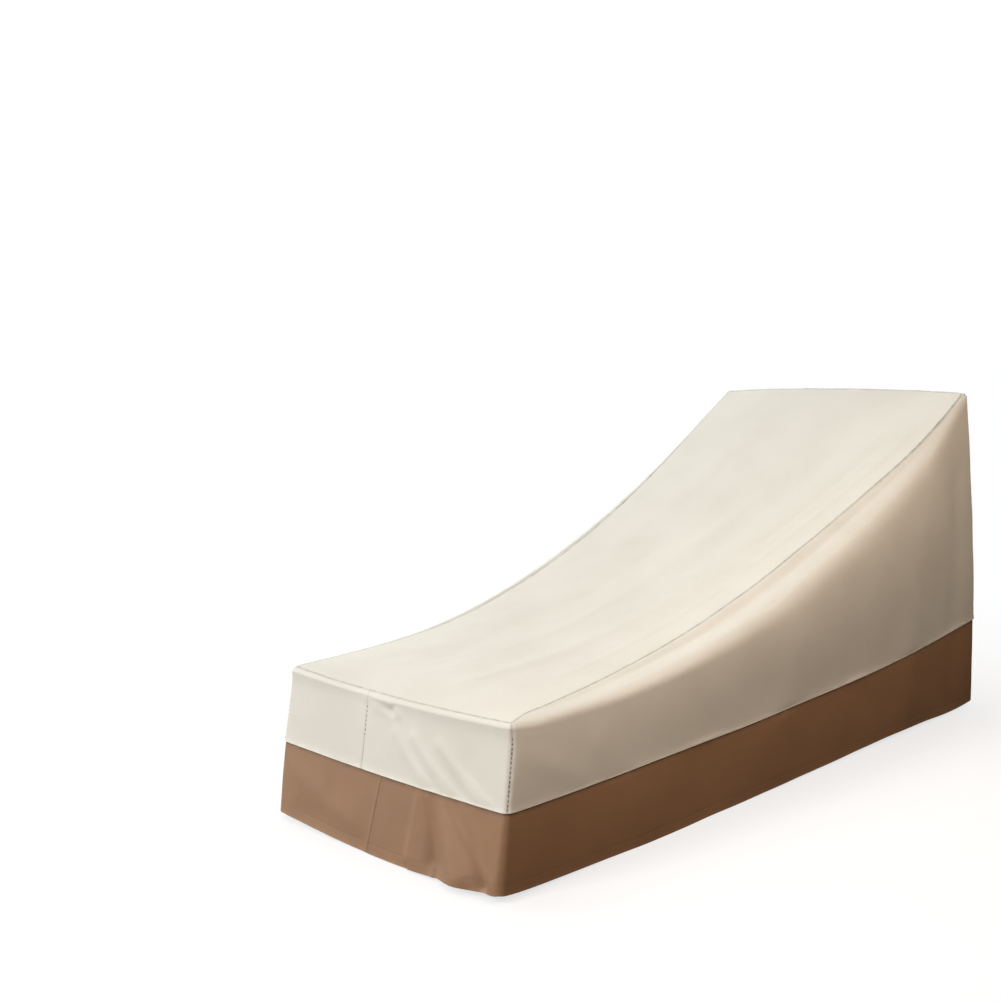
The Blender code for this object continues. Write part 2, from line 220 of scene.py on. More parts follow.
HEAD_CREASES = (
    (0.080, 0.820, 0.260, 0.520, 0.012, 0.018, 0.020, 0.030, 0.0014, 0.0006),
    (0.740, 0.820, 0.560, 0.560, 0.018, 0.012, 0.030, 0.020, 0.0014, 0.0006),
)
TOP_CREASES = (
    (0.950, 0.900, 1.620, 0.940, 0.006, 0.010, 0.006, 0.010, 0.0016, 0.0014),
    (1.050, 0.830, 1.500, 0.870, 0.012, 0.018, 0.012, 0.018, -0.0018, -0.0012),
    (0.300, 0.860, 0.850, 0.900, 0.010, 0.014, 0.010, 0.014, 0.0010, 0.0014),
    (0.500, 0.520, 1.250, 0.600, 0.016, 0.026, 0.016, 0.026, 0.0013, 0.0013),
    (0.060, 0.420, 0.500, 0.500, 0.014, 0.024, 0.014, 0.024, 0.0010, 0.0008),
)

# Levels down a wall: the top seam, the shoulder's foot, the lap's top, the band's upper
# edge and the hem.
SEAM, SHOULDER, LAP_TOP, BAND, HEM = range(5)

# Walls, the direction each faces in plan, and its folds and creases.
FOOT, RIGHT, HEAD, LEFT = "foot", "right", "head", "left"
OUTWARD = {FOOT: (0.0, -1.0, 0.0), RIGHT: (1.0, 0.0, 0.0), HEAD: (0.0, 1.0, 0.0),
           LEFT: (-1.0, 0.0, 0.0)}
FOLDS = {FOOT: FOOT_FOLDS, RIGHT: SIDE_FOLDS, HEAD: HEAD_FOLDS, LEFT: SIDE_FOLDS}
CREASES = {FOOT: FOOT_CREASES, RIGHT: SIDE_CREASES, HEAD: HEAD_CREASES, LEFT: SIDE_CREASES}

# Cloth of the scene: its thickness, and how far the middle of it lies above the face that
# both kinds of panel share.
CLOTH = 0.0009
PANEL_LIFT = 0.00155
BAND_LIFT = -0.00085
FOLD_BACK = 0.0010
PANEL_TURN_IN = 0.011
HEM_TURN_IN = 0.025

# Seams: rolled edges, pull and gathers of the thread, dust and painted shade in the seams, a painted
# shadow under the lap, a painted highlight along the lower edges, and the lap over the band.
SEAM_PARTING = 0.0004
SEAM_ALLOWANCE = (0.0080, 0.0035)
ROLL_RADIUS = 0.0010
PULL_DEPTH = 0.0008
PULL_REACH = 0.006
PUCKER = 0.00022
PUCKER_REACH = 0.014
PUCKER_RIPPLES = (1.0, 0.012, 0.030, 21)
TOPSTITCH_INSET = 0.0055
LAP_STITCH_RISE = 0.0035
HEM_STITCH_RISE = 0.022
# How strongly the dust and painted shade darken the cloth, and the painted highlights lighten it;
# how far from a seam that shade reaches; its share at a seam within a wall.
SEAM_DARKENING = 0.42
SEAM_SHADE_REACH = 0.0026
INNER_SEAM_SHADE = 0.40
# Painted shadow on the band just under the panels' lower edge, and how far down it reaches.
LAP_SHADE = 1.9
LAP_SHADE_REACH = 0.0056
# Painted highlight along the panels' lower edge and the hem's edge, where light catches them, and
# how far it reaches.
EDGE_HIGHLIGHT = 0.55
EDGE_HIGHLIGHT_REACH = 0.0055
LAP_HOLD = 0.75
LAP_HOLD_REACH = 0.010
LAP_PROUD = 0.0012
LAP_PROUD_REACH = 0.010
LAP_SUNK = 0.0008
LAP_SUNK_REACH = 0.006
STITCH_TROUGH = 0.00025
STITCH_TROUGH_SPREAD = 0.0016

# Stitches: pitch, length and radius. The upright seams show theirs as wider, darker dots, whose dark
# thread also paints the shade of their needle holes.
STITCH = (0.0040, 0.0031, 0.00038)
DOT = (0.0095, 0.0046, 0.00145)
DOT_LIFT = 0.0006
LINE_STEPS = 500

# Rings of a stitch: place as a share of its length, width and rise as shares of its radius.
STITCH_RINGS = ((-0.50, 0.30, -0.9), (-0.36, 0.9, 0.1), (0.0, 1.0, 0.35), (0.36, 0.9, 0.1),
                (0.50, 0.30, -0.9))
STITCH_SIDES = 5

# Stitches along the panels' lower edge: name, wall, and shares of its length at both ends.
CORNER_GAP = 0.01
SEAM_GAP = 0.004
LAP_STITCHING = (
    ("foot_left", FOOT, CORNER_GAP, FOOT_SEAM - SEAM_GAP),
    ("foot_right", FOOT, FOOT_SEAM + SEAM_GAP, 1.0 - CORNER_GAP),
    ("side_right", RIGHT, SEAM_GAP, 1.0 - SEAM_GAP),
    ("side_left", LEFT, SEAM_GAP, 1.0 - SEAM_GAP),
    ("head", HEAD, CORNER_GAP, 1.0 - CORNER_GAP),
)

# Rows of dots down the upright seams: wall, share of its length, first and last level.
SEAM_DOTS = (
    (RIGHT, 0.0, 1.10, 2.90),
    (LEFT, 0.0, 1.10, 2.90),
    (RIGHT, 1.0, 0.25, 2.90),
    (LEFT, 1.0, 0.25, 2.90),
    (FOOT, FOOT_SEAM, 1.12, 1.60),
)

# Unevenness of all the cloth: root mean square height, shortest and longest wave, and seed.
BROAD_RIPPLES = (0.00032, 0.060, 0.260, 11)
FINE_RIPPLES = (0.00004, 0.022, 0.060, 12)
RIPPLE_STRETCH = (1.0, 0.38, 0.75)
RIPPLE_WAVES = 28

# Sheets: steps in metres, places beside a seam that get a step of their own, rows down each
# part of a wall, and heights over the hem of the band's last rows.
STEP_FINE = 0.0045
STEP_COARSE = 0.0080
NORMAL_STEP = 0.0005
NEAR_SEAM = (0.0, 0.0004, 0.0009, 0.0015, 0.0022, 0.0032, 0.0045, 0.0055, 0.0065, 0.0085, 0.0110)
SHOULDER_ROWS = 32
WALL_ROWS = 40
LAP_ROWS = 8
TURN_ROWS = 5
PANEL_INSIDE_ROWS = 3
BAND_UNDER_ROWS = 4
BAND_ROWS = 22
BAND_INSIDE_ROWS = 5
HEM_RISES = (0.030, 0.027, 0.0245, 0.023, 0.022, 0.021, 0.0195, 0.017, 0.013, 0.009, 0.005,
             0.002, 0.0)

# Cloths: light tone, dark tone, gloss and sheen. Both have the same yarns.
BEIGE_CLOTH = ((0.725, 0.700, 0.625), (0.675, 0.650, 0.570), 0.50, 0.10)
BROWN_CLOTH = ((0.325, 0.179, 0.092), (0.285, 0.155, 0.079), 0.45, 0.08)
YARN_PITCH = 0.0006
YARN_BUMP = 0.30
YARN_ROUNDNESS = 0.4

# Colours of the sewing threads.
BEIGE_THREAD = (0.70, 0.66, 0.56)
BROWN_THREAD = (0.26, 0.15, 0.085)
# Thread of those dots, darkened to paint the shade of their needle holes.
SHADED_DOT_THREAD = (0.11, 0.085, 0.065)

# Camera of the photograph, placed from the middle of the foot end at the hem's height.
SENSOR_WIDTH = 36.0
FOCAL_LENGTH = 52.25
CAMERA_PLACE = Vector((2.5422, -1.8854, 1.2084))
CAMERA_AZIMUTH = 48.519
CAMERA_ELEVATION = 8.034
CAMERA_ROLL = -3.546

# Studio: each light's name, place, aim, size, power and colour.
LIGHTS = (
    ("key_front", (-0.6, -4.4, 3.4), (0.0, 0.3, 0.0), (1.6, 1.6), 165.0, (0.99, 0.98, 1.0)),
    ("top_left", (-1.4, 0.2, 4.3), (0.0, 0.6, 0.0), (2.4, 2.4), 78.0, (0.92, 0.97, 0.98)),
    ("front_low", (0.2, -5.0, 1.0), (0.0, 0.3, -0.1), (1.6, 1.6), 50.0, (1.0, 0.98, 0.93)),
    ("front_left", (-6.4, -4.2, 1.1), (0.0, 0.0, -0.1), (2.2, 2.2), 235.0, (1.0, 0.98, 0.94)),
    ("strip_right", (1.2, 0.35, 0.7), (0.4, 0.35, 0.1), (2.4, 0.3), 10.5, (1.0, 0.82, 0.67)),
    ("fill_right", (1.4, -0.5, 0.5), (0.4, 0.0, 0.0), (0.9, 0.4), 3.2, (1.0, 0.85, 0.76)),
    ("rear_left", (-2.5, 3.5, 2.2), (0.0, 0.6, 0.2), (2.0, 2.0), 40.0, (1.0, 0.98, 0.95)),
    ("fill_left", (-2.6, 0.6, 0.3), (-0.4, 0.6, 0.1), (2.4, 0.6), 35.0, (1.0, 0.98, 0.95)),
    ("fill_rear", (-0.6, 4.2, 0.4), (-0.1, 1.3, 0.1), (1.0, 0.8), 35.0, (1.0, 0.98, 0.95)),
)
FLOOR_REACH = 40.0
FLOOR_BOUNCE = (0.05, 0.032, 0.02, 1.0)
FLOOR_PALENESS = 0.72
FLOOR_SHADED = (1.2, 2.8)
FLOOR_GAP = 0.001
WORLD_GLOW = 0.02
WORLD_TINT = (1.0, 0.93, 0.85, 1.0)
WHITE = (1.0, 1.0, 1.0, 1.0)


def blend(start, end, share):
    """Value a share of the way from start to end."""
    return start + (end - start) * share


def ease(value):
    """Smooth step from 0 to 1 for a value that runs past both."""
    share = np.clip(value, 0.0, 1.0)
    return share * share * (3.0 - 2.0 * share)


def hump(distance, spread):
    """Rounded hump, 1 at its middle, that fades over a spread."""
    return np.exp(-(distance / spread) ** 2)


def from_end(share):
    """Share of a length between a place and the nearer of its ends."""
    return np.minimum(share, 1.0 - share)


def even_rows(count):
    """Even shares up to 1, as a column."""
    return np.linspace(0.0, 1.0, count + 1)[1:, None]


def read_curve(table, columns, name, where):
    """Values of a named column at places, on a smooth curve through the table's rows."""
    rows = np.array(table)
    places, values = rows[:, 0], rows[:, columns.index(name)]
    slopes = np.gradient(values, places)
    slopes[1:-1] = (values[2:] - values[:-2]) / (places[2:] - places[:-2])
    row = np.clip(np.searchsorted(places, where) - 1, 0, len(rows) - 2)
    span = places[row + 1] - places[row]
    share = np.clip((where - places[row]) / span, 0.0, 1.0)
    rise = values[row + 1] - values[row]
    bend = share * (1.0 - share)
    return (values[row] + rise * share + bend * (
        (1.0 - share) * (slopes[row] * span - rise) + share * (rise - slopes[row + 1] * span)))


def side_value(name, share):
    """Value of a side section's column, a share of the way from the foot to the head."""
    return read_curve(SIDE_SECTIONS, SIDE_COLUMNS, name, share * LENGTH)


def half_width(share):
    """Half the chair's width, a share of the way from the foot to the head."""
    return blend(FOOT_WIDTH, HEAD_WIDTH, share) / 2.0


def wall_length(wall):
    """Length of a wall at the chair's edge."""
    return LENGTH if wall in (RIGHT, LEFT) else blend(FOOT_WIDTH, HEAD_WIDTH, wall == HEAD)


def wall_step(wall):
    """Step of a wall's sheets, which is finer on the foot end."""
    return STEP_FINE if wall == FOOT else STEP_COARSE


def line_distance(start, end, across, height):
    """Share along a line, distance from it, and which side of it each place lies on."""
    run_x, run_y = end[0] - start[0], end[1] - start[1]
    from_x, from_y = across - start[0], height - start[1]
    near = np.clip((from_x * run_x + from_y * run_y) / (run_x**2 + run_y**2), 0.0, 1.0)
    away = np.hypot(from_x - near * run_x, from_y - near * run_y)
    return near, away, run_x * from_y - run_y * from_x > 0.0


def folds_at(folds, across, height):
    """Sum of soft folds, each a line with a rounded cross-section."""
    total = 0.0
    for *line, spread, size in folds:
        away = line_distance(line[0:2], line[2:4], across, height)[1]
        total = total + size * hump(away, spread)
    return total


def creases_at(creases, across, height):
    """Sum of creases whose spread and rise change along them, and may differ on each side."""
    total = 0.0
    for crease in creases:
        near, away, on_left = line_distance(crease[0:2], crease[2:4], across, height)
        left, right = blend(crease[4], crease[6], near), blend(crease[5], crease[7], near)
        rise = blend(crease[8], crease[9], near)
        total = total + rise * hump(away, np.where(on_left, left, right))
    return total


def ripples(places, size, shortest, longest, seed):
    """Smooth random unevenness at places in space, so that it runs on across seams."""
    random = np.random.default_rng(seed)
    total = np.zeros(places.shape[:-1])
    for _ in range(RIPPLE_WAVES):
        direction = random.normal(size=3)
        direction /= np.linalg.norm(direction)
        length = shortest * (longest / shortest) ** random.random()
        phase = random.random() * 2.0 * math.pi
        total += np.sin(places @ direction * 2.0 * math.pi / length + phase)
    return size * total / math.sqrt(RIPPLE_WAVES / 2.0)


def corner_arc(distance, radius):
    """Place along a wall and depth behind its face, by distance from the corner's seam."""
    turn = math.pi / 4.0 * (1.0 - np.minimum(distance, radius) / radius)
    along = radius * (1.0 - np.sin(turn)) + np.maximum(distance - radius, 0.0)
    return along, radius * (1.0 - np.cos(turn))


def top_height(along, across):
    """Height of the top, by shares of its length and of its width."""
    crown = read_curve(CROWN, CROWN_COLUMNS, "rise", along * LENGTH)
    return side_value("seam", along) + crown * 4.0 * across * (1.0 - across)


def shoulder_bulge(wall, share):
    """How far a wall's shoulder stands out over the wall below it."""
    if wall != RIGHT:
        return 0.0 * share
    return read_curve(RIGHT_BULGE, BULGE_COLUMNS, "out", share * LENGTH)


def wall_section(wall, share):
    """Heights and shoulder sizes of a wall, a share of the way from its first corner."""
    if wall in (FOOT, HEAD):
        sag = np.sin(math.pi * share)
        end = 0.0 * share + (wall == HEAD)
        band_sag = FOOT_BAND_SAG if wall == FOOT else 0.0
        hem_sag = FOOT_HEM_SAG if wall == FOOT else HEAD_HEM_SAG
        return {
            "seam": top_height(end, share),
            "band": side_value("band", end) - band_sag * sag,
            "hem": side_value("hem", end) - hem_sag * sag,
            "inset": EDGE_INSET + 0.0 * share, "drop": EDGE_DROP + 0.0 * share,
            "trough": 0.0 * share, "boxy": 0.0,
        }
    bulge = shoulder_bulge(wall, share)
    boxy = ease(from_end(share) * LENGTH / BOXY_REACH)
    return {
        "seam": top_height(share, 1.0 if wall == RIGHT else 0.0),
        "band": side_value("band", share),
        "hem": side_value("hem", share),
        "inset": side_value("inset_" + wall, share) + bulge, "bulge": bulge,
        "drop": side_value("drop_" + wall, share),
        "trough": side_value("trough", share),
        "boxy": boxy if wall == RIGHT else 0.0,
    }


def shoulder_turn(level):
    """Angle that a shoulder has turned through at a level."""
    return np.minimum(level, SHOULDER) * math.pi / 2.0


def shoulder_fall(section, level):
    """Share of its drop that a shoulder has fallen by at a level."""
    turn = shoulder_turn(level)
    turned = 1.0 - np.cos(turn)
    boxy = SHOULDER_FALL * np.sin(turn) + (1.0 - SHOULDER_FALL) * turned ** SHOULDER_TURN
    return blend(turned, boxy, section["boxy"])


def shoulder_relief(section, level):
    """Depth of the hollow along a shoulder, less the rise of the ridge outside it."""
    out = np.sin(shoulder_turn(level))
    hollow = hump(out - TROUGH_PLACE, TROUGH_SPREAD) * ease(out / TROUGH_PLACE)
    end = 1.0 - np.maximum(out, 0.0) ** RIDGE_END_POWER
    ridge = hump(out - RIDGE_PLACE, RIDGE_SPREAD) * end
    return section["trough"] * (hollow - RIDGE_RISE * ridge)


def wall_height(section, level):
    """Height of a wall at a level, from its seam down to its hem."""
    seam, drop, band, hem = (section[name] for name in ("seam", "drop", "band", "hem"))
    return np.select(
        [level <= SHOULDER, level <= LAP_TOP, level <= BAND],
        [seam - drop * shoulder_fall(section, level) - shoulder_relief(section, level),
         blend(seam - drop, band + LAP, level - SHOULDER),
         band + LAP * (BAND - level)],
        blend(band, hem, level - BAND))


def shoulder_inset(inset, level):
    """How far a wall still is inside its outer face, at a level of its shoulder."""
    return inset * (1.0 - np.sin(shoulder_turn(level)))


def wall_offset(wall, height, seam):
    """How far a wall's cloth stands out from the chair's side at a height."""
    rise = height / seam
    if wall == FOOT:
        below = (FOOT_FLARE_START - height) / FOOT_FLARE_BEND
        return FOOT_FLARE_SLOPE * FOOT_FLARE_BEND * np.logaddexp(0.0, below)
    belly = np.sin(math.pi * np.clip(rise, 0.0, 1.0))
    if wall == HEAD:
        return HEAD_BULGE * belly
    flare = RIGHT_FLARE if wall == RIGHT else LEFT_FLARE
    return flare * (1.0 - rise) + SIDE_BULGE * belly


def lap_hold(above):
    """Share of its folds that the cloth keeps at a height above the lapped seam."""
    return 1.0 - LAP_HOLD * hump(above, LAP_HOLD_REACH)


def lap_step(above, panel):
    """How far the panels stand out over the band at their lower edge, and the band sinks."""
    if panel:
        return LAP_PROUD * hump(np.maximum(above, 0.0), LAP_PROUD_REACH)
    return -LAP_SUNK * hump(above, LAP_SUNK_REACH)


def wall_surface(wall, share, level):
    """Places on a wall's nominal face, by shares of its length and levels."""
    section = wall_section(wall, share)
    height = wall_height(section, level)
    seam = section["seam"]
    edge = shoulder_inset(EDGE_INSET, level)
    front = edge - wall_offset(FOOT, height, seam)
    rear = LENGTH - edge + wall_offset(HEAD, height, seam)
    low = np.clip(1.0 - height / section["band"], 0.0, 1.0)
    radius = blend(CORNER_RADIUS, HEM_CORNER_RADIUS, low)

    if wall in (FOOT, HEAD):
        half = half_width(0.0 if wall == FOOT else 1.0) - edge
        left = half + wall_offset(LEFT, height, seam)
        length = left + half + wall_offset(RIGHT, height, seam)
        across, fold_length = share * length, length
    else:
        below = (seam - section["drop"] - height) / (seam - section["drop"] - section["band"])
        side = (half_width(share) + wall_offset(wall, height, seam)
                + section["bulge"] * (1.0 - ease(below)) - shoulder_inset(section["inset"], level))
        length = rear - front
        across, fold_length = share * LENGTH, LENGTH
    along, behind = corner_arc(from_end(share) * length, radius)
    along = np.where(share < 0.5, along, length - along)

    fade = ease(np.minimum(across, fold_length - across) / CORNER_EASE)
    fade = fade * np.sin(shoulder_turn(level)) * lap_hold(height - section["band"])
    out = folds_at(FOLDS[wall], across, height) * fade - behind
    if wall in (FOOT, HEAD):
        face = front - out if wall == FOOT else rear + out
        return np.stack([along - left, face, height], axis=-1)
    return np.stack([OUTWARD[wall][0] * (side + out), front + along, height], axis=-1)


def top_width(along):
    """Where the top's side seams lie, left and right of the middle."""
    half = half_width(along)
    return half - side_value("inset_left", along), half - side_value("inset_right", along)


def across_top(lines, left, right):
    """Lines on the top, their shares of its width made into distances from its middle."""
    return [(foot, blend(-left, right, share), to_foot, blend(-left, right, to_share), *shape)
            for foot, share, to_foot, to_share, *shape in lines]


def top_surface(across, along):
    """Places on the top's nominal face, by shares of its width and of its length."""
    left, right = top_width(along)
    across, along, left, right = np.broadcast_arrays(across, along, left, right)
    x = across * (left + right)
    y = along * TOP_LENGTH

    aside = from_end(across) * (left + right)
    ahead = from_end(along) * TOP_LENGTH
    free_x = 1.0 - np.clip(aside / CORNER_RADIUS, 0.0, 1.0)
    free_y = 1.0 - np.clip(ahead / CORNER_RADIUS, 0.0, 1.0)
    along_x, behind_y = corner_arc(aside, CORNER_RADIUS)
    along_y, behind_x = corner_arc(ahead, CORNER_RADIUS)
    both = CORNER_RADIUS * (1.0 - math.sqrt(0.5)) * free_x * free_y
    shift_x = (along_x - aside) * free_y + behind_x * free_x - both
    shift_y = behind_y * free_y + (along_y - ahead) * free_x - both
    x = x - left + np.where(across < 0.5, shift_x, -shift_x)
    y = y + EDGE_INSET + np.where(along < 0.5, shift_y, -shift_y)

    fade = ease(from_end(across) / CREASE_EASE_ACROSS) * ease(from_end(along) / CREASE_EASE_ALONG)
    folds = folds_at(across_top(TOP_FOLDS, left, right), y, x)
    height = top_height(along, across) + folds * fade
    return np.stack([x, y, height], axis=-1)


def with_normals(surface, first, second, outward):
    """Places of a surface and the directions square to it, on the outward side."""
    run = surface(first + NORMAL_STEP, second) - surface(first - NORMAL_STEP, second)
    fall = surface(first, second + NORMAL_STEP) - surface(first, second - NORMAL_STEP)
    normals = np.cross(run, fall)
    normals /= np.linalg.norm(normals, axis=-1, keepdims=True)
    if (normals @ np.array(outward)).mean() < 0.0:
        normals = -normals
    return surface(first, second), normals


def seam_sink(distance):
    """How far cloth sinks beside a seam: its rolled edge and the pull of the thread."""
    inside = np.clip(1.0 - distance / ROLL_RADIUS, 0.0, 1.0)
    roll = ROLL_RADIUS * (1.0 - np.sqrt(1.0 - inside**2))
    return roll + PULL_DEPTH * np.exp(-distance / PULL_REACH)


def stitch_sink(distance):
    """How far a row of stitches draws the cloth down beside it."""
    return STITCH_TROUGH * hump(distance, STITCH_TROUGH_SPREAD)


def seam_shade(distance):
    """Share of the dust and painted shade that darken a seam, by distance from it."""
    return hump(distance, SEAM_SHADE_REACH)


def puckers(places, distance):
    """Small gathers that run out from a seam."""
    return PUCKER * np.exp(-distance / PUCKER_REACH) * ripples(places, *PUCKER_RIPPLES)


def unevenness(places):
    """Broad and fine ripples of all the cloth."""
    places = places * np.array(RIPPLE_STRETCH)
    return ripples(places, *BROAD_RIPPLES) + ripples(places, *FINE_RIPPLES)


def seam_distance(section, level, height):
    """Distance of a wall's places from its top seam."""
    turn = shoulder_turn(level)
    shoulder = np.hypot(section["inset"] * np.sin(turn), section["drop"] * (1.0 - np.cos(turn)))
    return shoulder + np.maximum(section["seam"] - section["drop"] - height, 0.0)


def wall_face(wall, share, level, lift, seams=(), band=False):
    """Places, directions and seam shade of a wall's panel, or of the band under it.

    seams holds the shares of the wall's length at which upright seams lie.
    """
    share, level = np.broadcast_arrays(share, level)
    places, normals = with_normals(lambda first, second: wall_surface(wall, first, second),
                                   share, level, OUTWARD[wall])
    section = wall_section(wall, share)
    height = places[..., 2]
    length = wall_length(wall)
    across = share * length
    fade = ease(np.minimum(across, length - across) / CORNER_EASE)
    above_lap = height - section["band"]
    depth = lift + creases_at(CREASES[wall], across, height) * fade * lap_hold(above_lap)
    depth = depth + unevenness(places)
    depth = depth + lap_step(above_lap, not band)
    if band:
        above_hem = height - section["hem"]
        depth = depth - stitch_sink(above_hem - HEM_STITCH_RISE)
        # Painted shadow on the band just under the panels' lower edge.
        shade = LAP_SHADE * hump(above_lap, LAP_SHADE_REACH)
        # Painted highlight along the hem's edge.
        shade = shade - EDGE_HIGHLIGHT * hump(above_hem, EDGE_HIGHLIGHT_REACH)
    else:
        distance = seam_distance(section, level, height)
        depth = depth - seam_sink(distance) + puckers(places, distance)
        depth = depth - stitch_sink(above_lap - LAP_STITCH_RISE)
        # Dust and painted shade at the top seam, and a painted highlight along the panel's lower
        # edge.
        shade = seam_shade(distance) - EDGE_HIGHLIGHT * hump(above_lap, EDGE_HIGHLIGHT_REACH)
    # Dust and painted shade along the upright seams.
    for seam in seams:
        distance = np.abs(share - seam) * length
        depth = depth - seam_sink(distance) + puckers(places, distance)
        strength = np.where((seam > 0.0) & (seam < 1.0), INNER_SEAM_SHADE, 1.0)
        shade = shade + seam_shade(distance) * strength * (1.0 - np.clip(shade, 0.0, 1.0))
    return places + normals * depth[..., None], normals, shade


def top_face(across, along, lift):
    """Places, directions and seam shade of the top's cloth."""
    across, along = np.broadcast_arrays(across, along)
    places, normals = with_normals(top_surface, across, along, (0.0, 0.0, 1.0))
    left, right = top_width(along)
    creases = creases_at(across_top(TOP_CREASES, left, right), places[..., 1], places[..., 0])
    fade = ease(from_end(along) / CREASE_EASE_ALONG)
    depth = lift + creases * fade + unevenness(places)
    distance = np.minimum(from_end(across) * (left + right), from_end(along) * TOP_LENGTH)
    depth = depth - seam_sink(distance) + puckers(places, distance)
    depth = depth - stitch_sink(distance - TOPSTITCH_INSET)
    # Its seam shade is dust and painted shade along its seams.
    return places + normals * depth[..., None], normals, seam_shade(distance)


def spaced(length, step, start=0.0, end=1.0, sewn=(True, True)):
    """Shares of a length, closer together at both ends, and how deep each is tucked in.

    An end that is sewn gets its seam allowance, which turns into the seam.
    """
    span = (end - start) * length
    near = SEAM_PARTING + np.array(NEAR_SEAM)
    middle = np.arange(1, math.ceil((span - 2.0 * near[-1]) / step))
    middle = near[-1] + middle * (span - 2.0 * near[-1]) / (len(middle) + 1)
    place = np.concatenate([near, middle, span - near[::-1]])
    tuck = np.zeros(len(place))
    if sewn[0]:
        place = np.concatenate([np.repeat(place[0], len(SEAM_ALLOWANCE)), place])
        tuck = np.concatenate([SEAM_ALLOWANCE, tuck])
    if sewn[1]:
        place = np.concatenate([place, np.repeat(place[-1], len(SEAM_ALLOWANCE))])
        tuck = np.concatenate([tuck, SEAM_ALLOWANCE[::-1]])
    return start + place / length, tuck


def panel_rows(wall, share):
    """Levels, lifts and tucks of a panel's rows: down from its seam and back up inside."""
    section = wall_section(wall, share)
    near = (SEAM_PARTING + np.array(NEAR_SEAM))[:, None]
    reach = np.maximum(section["inset"], EDGE_INSET)
    seam_rows = np.minimum(near / reach, 1.0) * 2.0 / math.pi
    tucked = np.repeat(seam_rows[:1], len(SEAM_ALLOWANCE), axis=0)
    shoulder_rows = blend(seam_rows[-1], SHOULDER, even_rows(SHOULDER_ROWS))
    wall_rows = blend(SHOULDER, LAP_TOP, even_rows(WALL_ROWS))
    lap_rows = blend(LAP_TOP, BAND, even_rows(LAP_ROWS))
    down = np.concatenate([np.broadcast_to(rows, (len(rows), len(share)))
                           for rows in (tucked, seam_rows, shoulder_rows, wall_rows, lap_rows)])
    level, lift = turned_in(down, BAND, section["band"] - section["hem"], PANEL_LIFT)
    inside = even_rows(PANEL_INSIDE_ROWS) * PANEL_TURN_IN / LAP
    inside = np.broadcast_to(BAND - inside, (PANEL_INSIDE_ROWS, len(share)))
    level = np.concatenate([level, inside])
    lift = np.concatenate([lift, np.full(PANEL_INSIDE_ROWS, PANEL_LIFT - FOLD_BACK)])
    tuck = np.zeros(len(lift))
    tuck[:len(SEAM_ALLOWANCE)] = SEAM_ALLOWANCE
    return level, lift, tuck


def turned_in(down, edge, stretch, lift):
    """Rows that go down to an edge and round it, a stretch of the wall being one level."""
    turns = np.linspace(0.0, math.pi, TURN_ROWS + 2)[1:]
    radius = FOLD_BACK / 2.0
    round_rows = edge + radius * np.sin(turns)[:, None] / stretch
    lifts = np.concatenate([np.full(len(down), lift), lift - radius * (1.0 - np.cos(turns))])
    return np.concatenate([down, round_rows]), lifts


def band_rows(wall, share):
    """Levels and lifts of the band's rows: down to its hem and back up inside it."""
    section = wall_section(wall, share)
    stretch = section["band"] - section["hem"]
    rises = np.array(HEM_RISES)[:, None]
    start = blend(LAP_TOP, BAND, np.linspace(0.0, 1.0, BAND_UNDER_ROWS)[:, None])
    start = np.broadcast_to(start, (BAND_UNDER_ROWS, len(share)))
    last = HEM - rises[0] / stretch
    middle = blend(BAND, last, even_rows(BAND_ROWS)[:-1])
    down = np.concatenate([start, middle, HEM - rises / stretch])
    level, lift = turned_in(down, HEM, stretch, BAND_LIFT)
    inside = HEM - even_rows(BAND_INSIDE_ROWS) * HEM_TURN_IN / stretch
    level = np.concatenate([level, inside])
    return level, np.concatenate([lift, np.full(BAND_INSIDE_ROWS, BAND_LIFT - FOLD_BACK)])


def cloth_map(places):
    """Distances across and up a sheet of places, in metres, for its weave to follow."""
    across = np.linalg.norm(np.diff(places, axis=1), axis=-1).mean(axis=0)
    across = np.broadcast_to(np.concatenate([[0.0], np.cumsum(across)]), places.shape[:2])
    up = np.linalg.norm(np.diff(places, axis=0), axis=-1)[::-1].cumsum(axis=0)[::-1]
    up = np.concatenate([up, np.zeros((1, places.shape[1]))]) + places[-1, :, 2]
    return np.stack([across, up], axis=-1)


def add_object(name, data):
    """Object in the scene that shows a mesh, a light or a camera."""
    added = bpy.data.objects.new(name, data)
    bpy.context.scene.collection.objects.link(added)
    return added


def make_piece(name, places, faces, material):
    """Mesh piece at places of the cover, riding on the one body."""
    mesh = bpy.data.meshes.new(name)
    points = places.reshape(-1, 3) - np.array(REST_POINT)
    mesh.from_pydata(points.tolist(), [], faces.tolist())
    mesh.shade_smooth()
    mesh.materials.append(material)
    piece = add_object(name, mesh)
    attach(piece, "root")
    return piece


def make_sheet(name, places, normals, shade, material, slot, nodes):
    """Sheet of cloth on a grid of places, which stands for its solid."""
    rows, columns = places.shape[:2]
    point = np.arange(rows * columns).reshape(rows, columns)
    faces = np.stack([point[:-1, :-1], point[:-1, 1:], point[1:, 1:], point[1:, :-1]], axis=-1)
    facing = np.cross(places[0, 1] - places[0, 0], places[1, 0] - places[0, 0]) @ normals[0, 0]
    if facing < 0.0:
        faces = faces[..., ::-1]
    faces = faces.reshape(-1, 4)
    piece = make_piece(name, places, faces, material)
    layer = piece.data.uv_layers.new(name="cloth")
    grain = cloth_map(places).reshape(-1, 2)
    layer.uv.foreach_set("vector", grain[faces.ravel()].astype(np.float32).ravel())
    # Dust and painted shade at the seams, painted shadow under the lap and painted highlights on the
    # edges, for the cloth's colour to follow.
    dust_and_painted_light = piece.data.attributes.new("seam_shade", "FLOAT", "POINT")
    dust_and_painted_light.data.foreach_set("value", shade.ravel().astype(np.float32))
    shell = piece.modifiers.new("Cloth thickness", "SOLIDIFY")
    shell.thickness = CLOTH
    shell.offset = 0.0
    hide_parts(*nodes)
    return piece


